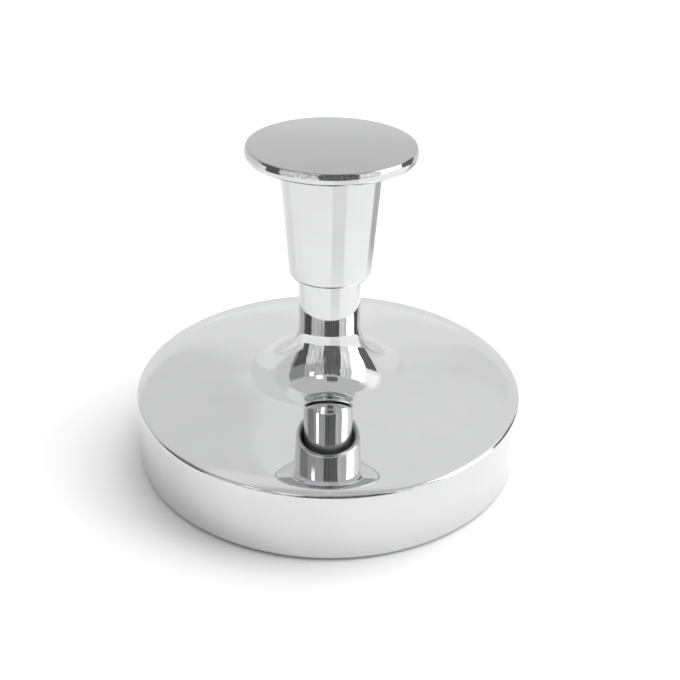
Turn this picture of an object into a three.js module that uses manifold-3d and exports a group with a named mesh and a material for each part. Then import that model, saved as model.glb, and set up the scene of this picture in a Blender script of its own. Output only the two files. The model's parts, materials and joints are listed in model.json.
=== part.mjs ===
// A hand-held magnetic security tag detacher: a heavy polished puck with a flared neck, and a palm knob on a
// hollow taper grip that slides down over the neck.
//
// The round well in the underside takes the dome of a hard tag, and the ring magnets around it pull the tag's
// lock open. Pressing the knob drives a rod down through the neck, and the pad on its lower end pushes the
// tag off the magnet. A spring inside the grip lifts the knob again.
//
// Millimetres, +Z up. The origin is the middle of the circle that the foot ring stands on.

import * as THREE from "three";
import { mergeVertices } from "three/addons/utils/BufferGeometryUtils.js";
import Module from "manifold-3d";

const wasm = await Module();
wasm.setup();

// ---------- Driving dimensions ----------

const BASE_RADIUS = 50; // outside of the puck
const STAND_OFF = 0.6; // how far the foot ring holds the puck's edge off the counter
const WALL = 2; // thickness of the cast shell
const RIM_HEIGHT = 18.3 + STAND_OFF; // top face at its outer edge
const RIM_EDGE_RADIUS = 1; // rounding between the top face and the side wall
const TOP_SLOPE = 5.9; // degrees, over most of the top face
const RIM_SLOPE = 19.3; // degrees, where the top face reaches the rounding
const SHOULDER_POWER = 16; // how late the top face turns from one slope to the other

const NECK_RADIUS = 7.85;
const NECK_TOP = 54;
const NECK_BORE = 5.7;
const FLARE_LOWER_RADIUS = 14; // the flare between the top face and the neck is two arcs
const FLARE_UPPER_RADIUS = 15;
const FLARE_BREAK = 48; // degrees of slope where one arc runs into the other

const GRIP_BOTTOM = 50.8; // lower lip of the grip sleeve at rest
const GRIP_TOP = 79.2;
const GRIP_RADIUS_BOTTOM = 10.25;
const GRIP_RADIUS_TOP = 12.4;
const GRIP_WALL = 1.4;

const KNOB_RADIUS = 20.6;
const KNOB_UNDERSIDE = 81;
const KNOB_EDGE_TOP = 84; // top of the rounded edge
const KNOB_CROWN = 0.5; // rise of the knob's face above its edge

const STROKE = 7; // how far the knob can be pressed
const ROD_RADIUS = 3.5;

const COVER_BOTTOM = 1.2;
const COVER_TOP = 3.6;
const WELL_RADIUS = 11; // takes the dome of a tag
const WELL_CEILING = 10.4;
const WELL_SHEET = 0.6;

const MAGNET_COUNT = 3;
const MAGNET_HEIGHT = 3.4;
const MAGNET_INNER = 12.1;
const MAGNET_OUTER = 27;
const MAGNET_BOTTOM = 4.6;

const YOKE_RADIUS = 30;
const YOKE_PLATE = 3;
const YOKE_LAND = 18.2; // flat face inside the shell that the yoke is screwed to

const PAD_RADIUS = 9.6; // ejector pad, at rest against the well's ceiling
const PAD_HEIGHT = 2.1;

const COVER_SCREWS = 6;
const COVER_SCREW_CIRCLE = 35;
const YOKE_SCREWS = 3;
const YOKE_SCREW_CIRCLE = 20;

const GAP = 0.1; // between faces that rest on each other
const YOKE_BOTTOM = YOKE_LAND - GAP - YOKE_PLATE; // underside of the yoke's plate
const PAD_TOP = WELL_CEILING - GAP;
const FINE = 48; // sides of the large round parts
const MEDIUM = 28;
const SMALL = 12;

// ---------- Materials ----------

const finish = (color, roughness, metalness) => new THREE.MeshStandardMaterial({ color, roughness, metalness });
const MATERIAL = {
  chrome: finish(0xd9dadb, 0.06, 1),
  nickel: finish(0xb9b7b0, 0.25, 1),
  steel: finish(0x8f9296, 0.4, 1),
  stainless: finish(0xc2c4c6, 0.25, 1),
  zinc: finish(0x9a9c9f, 0.55, 1),
  bronze: finish(0xb08a4c, 0.4, 1),
  coverPlastic: finish(0x1c1d1f, 0.6, 0),
  nylon: finish(0xe9e7df, 0.45, 0),
  rubber: finish(0x17181a, 0.85, 0),
};

// ---------- Helpers ----------

const point = (r, z) => new THREE.Vector2(r, z);
const radians = (degrees) => (degrees * Math.PI) / 180;

// Points of a circular arc in the (r, z) half plane; angles in degrees, 0 along +r and 90 along +z.
function arc(centreR, centreZ, radius, from, to, steps) {
  return Array.from({ length: steps + 1 }, (_, i) => {
    const angle = radians(from + ((to - from) * i) / steps);
    return point(centreR + radius * Math.cos(angle), centreZ + radius * Math.sin(angle));
  });
}

// A profile turned about the Z axis. The profile runs up the outside; a ring's profile is closed for it.
function turned(profile, sides) {
  const points = profile[0].x === 0 ? profile : [...profile, profile[0].clone()];
  return new THREE.LatheGeometry(points, sides).rotateX(Math.PI / 2);
}

// A plain ring or washer.
const ring = (inner, outer, bottom, top, sides) =>
  turned([point(inner, bottom), point(outer, bottom), point(outer, top), point(inner, top)], sides);

// A cylinder between two heights.
function rod(radius, bottom, top, sides) {
  return new THREE.CylinderGeometry(radius, radius, top - bottom, sides)
    .rotateX(Math.PI / 2)
    .translate(0, 0, (top + bottom) / 2);
}

// A geometry as a manifold-3d solid, and back.
function solid(geometry) {
  const bare = new THREE.BufferGeometry().setAttribute("position", geometry.getAttribute("position"));
  bare.setIndex(geometry.index);
  const merged = mergeVertices(bare, 1e-4);
  return new wasm.Manifold(
    new wasm.Mesh({
      numProp: 3,
      vertProperties: merged.attributes.position.array,
      triVerts: new Uint32Array(merged.index.array),
    }),
  );
}

function geometryOf(manifold) {
  const mesh = manifold.getMesh();
  return new THREE.BufferGeometry()
    .setAttribute("position", new THREE.BufferAttribute(mesh.vertProperties, 3))
    .setIndex(new THREE.BufferAttribute(mesh.triVerts, 1));
}

// Calls make(angle, index) for each of count places evenly spaced around the axis.
const around = (count, make) =>
  Array.from({ length: count }, (_, i) => make((2 * Math.PI * i) / count, i));

const atAngle = (geometry, radius, angle) =>
  geometry.clone().translate(radius * Math.cos(angle), radius * Math.sin(angle), 0);

// ---------- The shell's outline ----------

const RIM_START = BASE_RADIUS - RIM_EDGE_RADIUS * (1 - Math.sin(radians(RIM_SLOPE))); // where the rounding begins

// Height of the top face: one slope over most of it, growing towards the rim.
function topFace(r) {
  const inner = Math.tan(radians(TOP_SLOPE));
  const extra = Math.tan(radians(RIM_SLOPE)) - inner;
  const order = SHOULDER_POWER + 1;
  return RIM_HEIGHT + inner * (RIM_START - r) + ((extra * RIM_START) / order) * (1 - (r / RIM_START) ** order);
}

// Centres of the flare's two arcs: the upper one runs into the neck, the lower one into the top face.
const FLARE_STEP = FLARE_LOWER_RADIUS - FLARE_UPPER_RADIUS;
const FLARE_UPPER_R = NECK_RADIUS + FLARE_UPPER_RADIUS;
const FLARE_LOWER_R = FLARE_UPPER_R + FLARE_STEP * Math.sin(radians(FLARE_BREAK));
const FLARE_FOOT = FLARE_LOWER_R - FLARE_LOWER_RADIUS * Math.sin(radians(TOP_SLOPE));
const FLARE_LOWER_Z = topFace(FLARE_FOOT) + FLARE_LOWER_RADIUS * Math.cos(radians(TOP_SLOPE));
const FLARE_UPPER_Z = FLARE_LOWER_Z - FLARE_STEP * Math.cos(radians(FLARE_BREAK));

// Points at even steps of radius along a height function.
const sweep = (from, to, steps, height) =>
  Array.from({ length: steps + 1 }, (_, i) => {
    const r = from + ((to - from) * i) / steps;
    return point(r, height(r));
  });

// ---------- Base ----------

const BOSS_RADIUS = 3.4;
const SCREW_HOLE = 1.55;
const BUSH_POCKET_RADIUS = 9.5;
const BUSH_POCKET_TOP = 19.6;

function baseShell() {
  const edge = 0.8; // rounding of the lower edge
  const inside = BASE_RADIUS - WALL;
  const cornerFillet = 3; // inside corner between the wall and the top
  const cornerHeight = topFace(inside - cornerFillet) - WALL - cornerFillet;
  const profile = [
    ...arc(BASE_RADIUS - edge, STAND_OFF + edge, edge, -90, 0, 3),
    ...arc(BASE_RADIUS - RIM_EDGE_RADIUS, topFace(RIM_START) - RIM_EDGE_RADIUS * Math.cos(radians(RIM_SLOPE)),
      RIM_EDGE_RADIUS, 0, 90 - RIM_SLOPE, 3),
    ...sweep(RIM_START, FLARE_FOOT, 7, topFace).slice(1),
    ...arc(FLARE_LOWER_R, FLARE_LOWER_Z, FLARE_LOWER_RADIUS, 270 - TOP_SLOPE, 270 - FLARE_BREAK, 5).slice(1),
    ...arc(FLARE_UPPER_R, FLARE_UPPER_Z, FLARE_UPPER_RADIUS, 270 - FLARE_BREAK, 180, 6).slice(1),
    point(NECK_RADIUS, NECK_TOP - 0.5),
    point(NECK_RADIUS - 0.5, NECK_TOP),
    point(NECK_BORE, NECK_TOP),
    point(NECK_BORE, BUSH_POCKET_TOP),
    point(BUSH_POCKET_RADIUS, BUSH_POCKET_TOP),
    point(BUSH_POCKET_RADIUS, YOKE_LAND),
    point(YOKE_RADIUS + 0.6, YOKE_LAND),
    ...sweep(YOKE_RADIUS + 1, inside - cornerFillet, 3, (r) => topFace(r) - WALL),
    ...arc(inside - cornerFillet, cornerHeight, cornerFillet, 60, 0, 3),
    point(inside, STAND_OFF),
  ];
  let shell = solid(turned(profile, FINE));
  const boss = rod(BOSS_RADIUS, COVER_TOP + GAP, 19.6, SMALL);
  const bossHole = rod(SCREW_HOLE, COVER_TOP - 1, 13, 8);
  const yokeHole = rod(1.3, YOKE_LAND - 1, 21.4, 8);
  around(COVER_SCREWS, (angle) => {
    shell = shell.add(solid(atAngle(boss, COVER_SCREW_CIRCLE, angle)));
  });
  around(COVER_SCREWS, (angle) => {
    shell = shell.subtract(solid(atAngle(bossHole, COVER_SCREW_CIRCLE, angle)));
  });
  around(YOKE_SCREWS, (angle) => {
    shell = shell.subtract(solid(atAngle(yokeHole, YOKE_SCREW_CIRCLE, angle)));
  });
  return geometryOf(shell);
}

const FOOT_INNER = 41;
const FOOT_OUTER = 45.5;
const FOOT_GROOVE_TOP = 2.2;

// Countersunk screws that point up: radii of head and shank, depth of the head, and the height of the face
// that the head is sunk into and of the screw's tip.
const COVER_SCREW = { head: 2.8, shank: 1.4, depth: 1.4, face: COVER_BOTTOM, tip: 12 };
const YOKE_SCREW = { head: 2.8, shank: 1.15, depth: 1.5, face: YOKE_BOTTOM, tip: 21 };
const PAD_SCREW = { head: 2.6, shank: 1.15, depth: 1.35, face: PAD_TOP - PAD_HEIGHT, tip: PAD_TOP + 6 };

// A screw with a cross recess in its head.
function countersunkScrew({ head, shank, depth, face, tip }) {
  const bottom = face + 0.05;
  const blank = solid(turned([
    point(0, bottom),
    point(head, bottom),
    point(head, bottom + 0.3),
    point(shank, bottom + depth),
    point(shank, tip - 1),
    point(0, tip),
  ], SMALL));
  const arm = (turn) =>
    solid(new THREE.BoxGeometry(head * 1.15, head * 0.26, 1.6).rotateZ(turn).translate(0, 0, bottom));
  return geometryOf(blank.subtract(arm(0)).subtract(arm(Math.PI / 2)));
}

// The tool that cuts such a screw's hole.
function countersunkHole({ head, shank, depth, face, tip }) {
  const clearance = 0.2;
  return turned([
    point(0, face - 1),
    point(head + clearance, face - 1),
    point(head + clearance, face + 0.3 + clearance),
    point(shank + clearance, face + depth + clearance),
    point(shank + clearance, tip),
    point(0, tip),
  ], SMALL);
}

function bottomCover() {
  const aperture = WELL_RADIUS + WELL_SHEET + 0.35;
  const outer = BASE_RADIUS - WALL - 0.4;
  const plate = solid(turned([
    point(aperture, COVER_BOTTOM),
    point(FOOT_INNER - 0.2, COVER_BOTTOM),
    point(FOOT_INNER - 0.2, FOOT_GROOVE_TOP),
    point(FOOT_OUTER + 0.2, FOOT_GROOVE_TOP),
    point(FOOT_OUTER + 0.2, COVER_BOTTOM),
    point(outer - 0.4, COVER_BOTTOM),
    point(outer, COVER_BOTTOM + 0.4),
    point(outer, COVER_TOP),
    point(aperture, COVER_TOP),
  ], FINE));
  const hole = countersunkHole(COVER_SCREW);
  const cut = around(COVER_SCREWS, (angle) => solid(atAngle(hole, COVER_SCREW_CIRCLE, angle)));
  return geometryOf(cut.reduce((body, tool) => body.subtract(tool), plate));
}

function footRing() {
  const edge = 0.5;
  return turned([
    ...arc(FOOT_INNER + edge, edge, edge, 180, 270, 2),
    ...arc(FOOT_OUTER - edge, edge, edge, -90, 0, 2),
    point(FOOT_OUTER, FOOT_GROOVE_TOP - GAP),
    point(FOOT_INNER, FOOT_GROOVE_TOP - GAP),
  ], FINE);
}

const ROD_HOLE = ROD_RADIUS + 0.7; // free passage for the rod

// Drawn cup, mouth down, with a wide flange that holds the magnets up in the yoke.
function tagWell() {
  const outer = WELL_RADIUS + WELL_SHEET;
  const flangeBottom = COVER_TOP + GAP;
  const corner = 1.5;
  return turned([
    point(WELL_RADIUS + 0.3, COVER_BOTTOM + 0.05),
    point(outer, COVER_BOTTOM + 0.05),
    point(outer, flangeBottom),
    point(YOKE_RADIUS - 1, flangeBottom),
    point(YOKE_RADIUS - 1, flangeBottom + WELL_SHEET),
    point(outer, flangeBottom + WELL_SHEET),
    ...arc(outer - corner, WELL_CEILING + WELL_SHEET - corner, corner, 0, 90, 3),
    point(ROD_HOLE, WELL_CEILING + WELL_SHEET),
    point(ROD_HOLE, WELL_CEILING),
    ...arc(WELL_RADIUS - 1, WELL_CEILING - 1, 1, 90, 0, 3),
    point(WELL_RADIUS, COVER_BOTTOM + 0.4),
  ], MEDIUM);
}

// One of the stacked magnet rings, with the small chamfers that sintered magnets have.
function magnetRing(index) {
  const bottom = MAGNET_BOTTOM + index * (MAGNET_HEIGHT + GAP);
  const top = bottom + MAGNET_HEIGHT;
  const chamfer = 0.35;
  return turned([
    point(MAGNET_INNER, bottom + chamfer),
    point(MAGNET_INNER + chamfer, bottom),
    point(MAGNET_OUTER - chamfer, bottom),
    point(MAGNET_OUTER, bottom + chamfer),
    point(MAGNET_OUTER, top - chamfer),
    point(MAGNET_OUTER - chamfer, top),
    point(MAGNET_INNER + chamfer, top),
    point(MAGNET_INNER, top - chamfer),
  ], MEDIUM);
}

// Steel pot, open downwards, that carries the field round the outside of the magnets.
function yokeCup() {
  const skirt = MAGNET_OUTER + 0.4;
  const cup = solid(turned([
    point(skirt, MAGNET_BOTTOM),
    point(YOKE_RADIUS, MAGNET_BOTTOM),
    point(YOKE_RADIUS, YOKE_LAND - GAP - 0.6),
    point(YOKE_RADIUS - 0.6, YOKE_LAND - GAP),
    point(ROD_HOLE + 0.8, YOKE_LAND - GAP),
    point(ROD_HOLE + 0.8, YOKE_BOTTOM),
    point(skirt, YOKE_BOTTOM),
  ], MEDIUM));
  const hole = countersunkHole(YOKE_SCREW);
  const cut = around(YOKE_SCREWS, (angle) => solid(atAngle(hole, YOKE_SCREW_CIRCLE, angle)));
  return geometryOf(cut.reduce((body, tool) => body.subtract(tool), cup));
}

// Soft iron core above the well, its lower end coned to gather the field over the tag's lock.
function poleCore() {
  const bottom = WELL_CEILING + WELL_SHEET + 0.2;
  const top = YOKE_BOTTOM - GAP;
  return turned([
    point(ROD_HOLE, bottom),
    point(7, bottom),
    point(MAGNET_INNER - 0.4, bottom + 2),
    point(MAGNET_INNER - 0.4, top),
    point(ROD_HOLE, top),
  ], MEDIUM);
}

// Cast ring that puts weight at the puck's edge.
function weightRing() {
  const [inner, outer, bottom, top] = [39.8, 47.2, COVER_TOP + GAP, 13.4];
  return turned([
    point(inner, bottom),
    point(outer, bottom),
    point(outer, top - 2),
    point(outer - 2, top),
    point(inner + 0.8, top),
    point(inner, top - 0.8),
  ], FINE);
}

// ---------- Guides in the neck ----------

const STOP_RING_BOTTOM = 43.8;
const UPPER_BUSH_BOTTOM = 46;
const BUSH_BORE = ROD_RADIUS + 0.12;
const BUSH_FLANGE = 1.2;
const LOWER_BUSH_TOP = STOP_RING_BOTTOM - STROKE - GAP; // the stop ring lands on it at full stroke

function upperGuideBush() {
  const seat = NECK_TOP + GAP / 2;
  return turned([
    point(BUSH_BORE, UPPER_BUSH_BOTTOM),
    point(NECK_BORE - GAP, UPPER_BUSH_BOTTOM),
    point(NECK_BORE - GAP, seat),
    point(NECK_RADIUS - 0.5, seat),
    point(NECK_RADIUS - 0.5, seat + BUSH_FLANGE),
    point(BUSH_BORE, seat + BUSH_FLANGE),
  ], MEDIUM);
}

function lowerGuideBush() {
  const flangeTop = BUSH_POCKET_TOP - GAP;
  return turned([
    point(BUSH_BORE, flangeTop - BUSH_FLANGE),
    point(BUSH_POCKET_RADIUS - 0.6, flangeTop - BUSH_FLANGE),
    point(BUSH_POCKET_RADIUS - 0.6, flangeTop),
    point(NECK_BORE - GAP, flangeTop),
    point(NECK_BORE - GAP, LOWER_BUSH_TOP),
    point(BUSH_BORE, LOWER_BUSH_TOP),
  ], MEDIUM);
}

// ---------- Plunger ----------

const GRIP_WEB_BOTTOM = 76.2;
const SPIGOT_RADIUS = 5.8;
const SPIGOT_BOTTOM = 74;
const STUD_RADIUS = 2.9;
const STUD_TOP = 81.6;

// Hollow taper grip with a web near its top that the knob clamps.
function gripSleeve() {
  const taper = (GRIP_RADIUS_TOP - GRIP_RADIUS_BOTTOM) / (GRIP_TOP - GRIP_BOTTOM);
  const outside = (z) => GRIP_RADIUS_BOTTOM + taper * (z - GRIP_BOTTOM);
  const lip = GRIP_WALL / 2;
  const middle = outside(GRIP_BOTTOM + lip) - lip;
  return turned([
    ...arc(middle, GRIP_BOTTOM + lip, lip, 180, 360, 6),
    point(outside(GRIP_TOP - 0.3), GRIP_TOP - 0.3),
    point(outside(GRIP_TOP) - 0.3, GRIP_TOP),
    point(SPIGOT_RADIUS + 0.3, GRIP_TOP),
    point(SPIGOT_RADIUS + 0.3, GRIP_WEB_BOTTOM),
    point(outside(GRIP_WEB_BOTTOM) - GRIP_WALL, GRIP_WEB_BOTTOM),
  ], MEDIUM);
}

// Palm knob: a crowned disc with a soft edge, a filleted hub, and a spigot with the rod's blind bore.
function palmKnob() {
  const upperEdge = 1; // radius of the edge's upper rounding
  const lowerEdge = 1.7;
  const hubFillet = 1.4;
  const hub = GRIP_RADIUS_TOP;
  const crownRadius = (KNOB_RADIUS - upperEdge) ** 2 / (2 * KNOB_CROWN);
  const crown = (r) => KNOB_EDGE_TOP + KNOB_CROWN - r * r / (2 * crownRadius);
  return turned([
    point(0, STUD_TOP + 0.3),
    point(STUD_RADIUS + 0.1, STUD_TOP + 0.3),
    point(STUD_RADIUS + 0.1, SPIGOT_BOTTOM),
    point(SPIGOT_RADIUS, SPIGOT_BOTTOM),
    point(SPIGOT_RADIUS, GRIP_TOP + GAP),
    point(hub - 0.3, GRIP_TOP + GAP),
    point(hub, GRIP_TOP + GAP + 0.3),
    ...arc(hub + hubFillet, KNOB_UNDERSIDE - hubFillet, hubFillet, 165, 90, 3),
    ...arc(KNOB_RADIUS - lowerEdge, KNOB_UNDERSIDE + lowerEdge, lowerEdge, -90, -8, 4),
    ...arc(KNOB_RADIUS - upperEdge, KNOB_EDGE_TOP - upperEdge, upperEdge, 8, 90, 4),
    ...sweep(KNOB_RADIUS - upperEdge, 0, 4, crown).slice(1),
  ], MEDIUM);
}

const GROOVE_RADIUS = 2.7;

// Rod from the knob to the ejector pad, with a stud at the top and a groove for the stop ring.
function plungerRod() {
  const grooveBottom = STOP_RING_BOTTOM - 0.05;
  const grooveTop = STOP_RING_BOTTOM + 1.05;
  const shoulder = SPIGOT_BOTTOM - 0.2;
  const foot = PAD_TOP + GAP / 2;
  const tapping = 1.3;
  return turned([
    point(0, foot + 7),
    point(tapping, foot + 7),
    point(tapping, foot),
    point(ROD_RADIUS - 0.3, foot),
    point(ROD_RADIUS, foot + 0.3),
    point(ROD_RADIUS, grooveBottom),
    point(GROOVE_RADIUS, grooveBottom),
    point(GROOVE_RADIUS, grooveTop),
    point(ROD_RADIUS, grooveTop),
    point(ROD_RADIUS, shoulder),
    point(STUD_RADIUS, shoulder),
    point(STUD_RADIUS, STUD_TOP - 0.5),
    point(STUD_RADIUS - 0.5, STUD_TOP),
    point(0, STUD_TOP),
  ], MEDIUM);
}

// Open retaining ring that snaps into the rod's groove.
function stopRing() {
  const inner = GROOVE_RADIUS + 0.15;
  const body = solid(ring(inner, NECK_BORE - 0.6, STOP_RING_BOTTOM, STOP_RING_BOTTOM + 1, MEDIUM));
  const mouth = new THREE.BoxGeometry(6, inner * 1.5, 4).translate(4, 0, STOP_RING_BOTTOM);
  return geometryOf(body.subtract(solid(mouth)));
}

const stopBumper = () =>
  ring(ROD_RADIUS + 0.15, NECK_BORE - 0.6, STOP_RING_BOTTOM + 1.1, UPPER_BUSH_BOTTOM - GAP, MEDIUM);

// Hexagon nut on the knob's spigot, below the sleeve's web.
const CLAMP_NUT_BOTTOM = 72.4;
const LOCK_WASHER_BOTTOM = 75.2;

function clampNut() {
  const bore = solid(rod(SPIGOT_RADIUS + 0.15, CLAMP_NUT_BOTTOM - 1, LOCK_WASHER_BOTTOM + 1, MEDIUM));
  const top = LOCK_WASHER_BOTTOM - GAP;
  const blank = solid(turned([
    point(0, CLAMP_NUT_BOTTOM),
    point(8.2, CLAMP_NUT_BOTTOM),
    point(8.9, CLAMP_NUT_BOTTOM + 0.4),
    point(8.9, top),
    point(0, top),
  ], 6));
  return geometryOf(blank.subtract(bore));
}

// Split spring washer between the nut and the web.
function lockWasher() {
  const body = solid(ring(SPIGOT_RADIUS + 0.2, 8.6, LOCK_WASHER_BOTTOM, GRIP_WEB_BOTTOM - GAP, MEDIUM));
  const split = new THREE.BoxGeometry(4, 0.7, 4).rotateX(0.5).translate(7.5, 0, LOCK_WASHER_BOTTOM + 0.4);
  return geometryOf(body.subtract(solid(split)));
}

// Flanged cup that the spring's upper end sits in.
const SPRING_SEAT_TOP = CLAMP_NUT_BOTTOM - GAP;
const SPRING_SEAT_SHEET = 0.8;

const springSeat = () =>
  turned([
    point(ROD_RADIUS + 0.15, SPRING_SEAT_TOP - 2),
    point(4.4, SPRING_SEAT_TOP - 2),
    point(4.4, SPRING_SEAT_TOP - SPRING_SEAT_SHEET),
    point(7.6, SPRING_SEAT_TOP - SPRING_SEAT_SHEET),
    point(7.6, SPRING_SEAT_TOP),
    point(ROD_RADIUS + 0.15, SPRING_SEAT_TOP),
  ], MEDIUM);

function ejectorPad() {
  const bottom = PAD_TOP - PAD_HEIGHT;
  const edge = 0.5;
  const body = solid(turned([
    point(0, bottom),
    ...arc(PAD_RADIUS - edge, bottom + edge, edge, -90, 0, 3),
    point(PAD_RADIUS, PAD_TOP - 0.2),
    point(PAD_RADIUS - 0.2, PAD_TOP),
    point(0, PAD_TOP),
  ], MEDIUM));
  return geometryOf(body.subtract(solid(countersunkHole(PAD_SCREW))));
}

// ---------- Spring ----------

const THRUST_WASHER_BOTTOM = NECK_TOP + BUSH_FLANGE + 0.15;
const THRUST_WASHER_TOP = THRUST_WASHER_BOTTOM + 0.6;
const WIRE_RADIUS = 0.5;
const COIL_RADIUS = 5.6;

const thrustWasher = () =>
  ring(ROD_RADIUS + 0.3, NECK_RADIUS - 0.6, THRUST_WASHER_BOTTOM, THRUST_WASHER_TOP, MEDIUM);

// Helix with a closed turn at each end: the turns at the ends rise by little more than the wire.
class SpringPath extends THREE.Curve {
  constructor(bottom, top, turns) {
    super();
    Object.assign(this, { bottom, top, turns });
  }

  height(turn) {
    const closed = 1;
    const endPitch = 2.2 * WIRE_RADIUS;
    const open = this.turns - 2 * closed;
    const openPitch = (this.top - this.bottom - 2 * closed * endPitch) / open;
    const low = Math.min(turn, closed) * endPitch;
    const middle = Math.min(Math.max(turn - closed, 0), open) * openPitch;
    const high = Math.max(turn - closed - open, 0) * endPitch;
    return this.bottom + low + middle + high;
  }

  getPoint(t, target = new THREE.Vector3()) {
    const turn = t * this.turns;
    const angle = 2 * Math.PI * turn;
    return target.set(COIL_RADIUS * Math.cos(angle), COIL_RADIUS * Math.sin(angle), this.height(turn));
  }
}

function returnSpring() {
  const turns = 5.5;
  const bottom = THRUST_WASHER_TOP + WIRE_RADIUS + GAP;
  const top = SPRING_SEAT_TOP - SPRING_SEAT_SHEET - WIRE_RADIUS - GAP;
  const section = new THREE.Shape().absarc(0, 0, WIRE_RADIUS, 0, 2 * Math.PI);
  return new THREE.ExtrudeGeometry(section, {
    steps: Math.round(turns * 12),
    curveSegments: 4,
    bevelEnabled: false,
    extrudePath: new SpringPath(bottom, top, turns),
  });
}

// ---------- Assembly ----------

const detacher = new THREE.Group();

function add(parent, name, geometry, material) {
  const mesh = new THREE.Mesh(geometry, material);
  mesh.name = name;
  parent.add(mesh);
  return mesh;
}

const base = new THREE.Group();
add(base, "base_shell", baseShell(), MATERIAL.chrome);
add(base, "bottom_cover", bottomCover(), MATERIAL.coverPlastic);
add(base, "foot_ring", footRing(), MATERIAL.rubber);
add(base, "tag_well", tagWell(), MATERIAL.stainless);
for (let i = 0; i < MAGNET_COUNT; i++) {
  add(base, `magnet_ring_${i + 1}`, magnetRing(i), MATERIAL.nickel);
}
add(base, "pole_core", poleCore(), MATERIAL.steel);
add(base, "yoke_cup", yokeCup(), MATERIAL.steel);
add(base, "weight_ring", weightRing(), MATERIAL.zinc);
add(base, "upper_guide_bush", upperGuideBush(), MATERIAL.bronze);
add(base, "lower_guide_bush", lowerGuideBush(), MATERIAL.bronze);
const coverScrew = countersunkScrew(COVER_SCREW);
around(COVER_SCREWS, (angle, i) => {
  const screw = add(base, `cover_screw_${i + 1}`, coverScrew, MATERIAL.steel);
  screw.position.set(COVER_SCREW_CIRCLE * Math.cos(angle), COVER_SCREW_CIRCLE * Math.sin(angle), 0);
  screw.rotation.z = 0.7 * i; // screws stop wherever they are tight
});
const yokeScrew = countersunkScrew(YOKE_SCREW);
around(YOKE_SCREWS, (angle, i) => {
  const screw = add(base, `yoke_screw_${i + 1}`, yokeScrew, MATERIAL.steel);
  screw.position.set(YOKE_SCREW_CIRCLE * Math.cos(angle), YOKE_SCREW_CIRCLE * Math.sin(angle), 0);
});
detacher.add(base);

const plunger = new THREE.Group();
add(plunger, "palm_knob", palmKnob(), MATERIAL.chrome);
add(plunger, "grip_sleeve", gripSleeve(), MATERIAL.chrome);
add(plunger, "lock_washer", lockWasher(), MATERIAL.steel);
add(plunger, "clamp_nut", clampNut(), MATERIAL.steel);
add(plunger, "spring_seat", springSeat(), MATERIAL.steel);
add(plunger, "plunger_rod", plungerRod(), MATERIAL.stainless);
add(plunger, "stop_bumper", stopBumper(), MATERIAL.rubber);
add(plunger, "stop_ring", stopRing(), MATERIAL.steel);
add(plunger, "ejector_pad", ejectorPad(), MATERIAL.nylon);
add(plunger, "pad_screw", countersunkScrew(PAD_SCREW), MATERIAL.stainless);
detacher.add(plunger);

const springSet = new THREE.Group();
add(springSet, "return_spring", returnSpring(), MATERIAL.stainless);
add(springSet, "thrust_washer", thrustWasher(), MATERIAL.stainless);
detacher.add(springSet);

export default detacher;
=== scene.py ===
import json
import math

import bmesh
import bpy
from mathutils import Matrix, Vector


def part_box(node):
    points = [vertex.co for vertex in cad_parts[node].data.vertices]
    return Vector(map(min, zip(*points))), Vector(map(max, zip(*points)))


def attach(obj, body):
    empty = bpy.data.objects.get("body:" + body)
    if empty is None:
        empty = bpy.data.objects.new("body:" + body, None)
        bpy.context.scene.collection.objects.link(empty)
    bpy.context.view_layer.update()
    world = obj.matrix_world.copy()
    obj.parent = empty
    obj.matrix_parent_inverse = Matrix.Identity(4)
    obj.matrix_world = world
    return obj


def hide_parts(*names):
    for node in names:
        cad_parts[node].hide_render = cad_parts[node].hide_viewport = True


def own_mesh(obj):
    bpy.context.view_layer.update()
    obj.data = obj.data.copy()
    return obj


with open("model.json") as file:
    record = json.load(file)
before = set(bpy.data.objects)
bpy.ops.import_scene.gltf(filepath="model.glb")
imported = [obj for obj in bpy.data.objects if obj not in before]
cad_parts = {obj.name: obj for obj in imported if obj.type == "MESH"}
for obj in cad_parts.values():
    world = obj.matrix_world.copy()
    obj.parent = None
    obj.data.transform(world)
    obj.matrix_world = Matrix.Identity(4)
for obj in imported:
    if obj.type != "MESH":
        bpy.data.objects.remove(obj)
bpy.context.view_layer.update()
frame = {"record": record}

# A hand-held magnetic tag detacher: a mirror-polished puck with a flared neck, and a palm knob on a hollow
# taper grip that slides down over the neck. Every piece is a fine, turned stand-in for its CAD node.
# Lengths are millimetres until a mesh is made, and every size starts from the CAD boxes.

MM = 0.001
RECORD = frame["record"]
BODY = {node: body for body, nodes in RECORD["behaviour"]["bodies"].items() for node in nodes}

# Sides of a turned piece: mirror-polished and large ones, smaller ones, and screws and drills.
FINE = 256
MEDIUM = 128
SMALL = 64


def span(node):
    """The CAD node's largest radius, lowest and highest z, in millimetres."""
    low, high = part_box(node)
    return high.x / MM, low.z / MM, high.z / MM


def mid(node):
    """The middle of the CAD node's box, in millimetres."""
    low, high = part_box(node)
    return (low + high) / (2 * MM)


def places(node, count):
    """Middles (x, y) of the numbered CAD nodes, in millimetres."""
    middles = [mid(f"{node}_{i + 1}") for i in range(count)]
    return [(middle.x, middle.y) for middle in middles]


# ---------- Outlines: lists of (r, z) in millimetres ----------


def arc(centre_r, centre_z, radius, start, end, steps=12):
    """Points of a circular arc; angles in degrees, 0 along +r and 90 along +z."""
    points = []
    for i in range(steps + 1):
        angle = math.radians(start + (end - start) * i / steps)
        points.append((centre_r + radius * math.cos(angle), centre_z + radius * math.sin(angle)))
    return points


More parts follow.
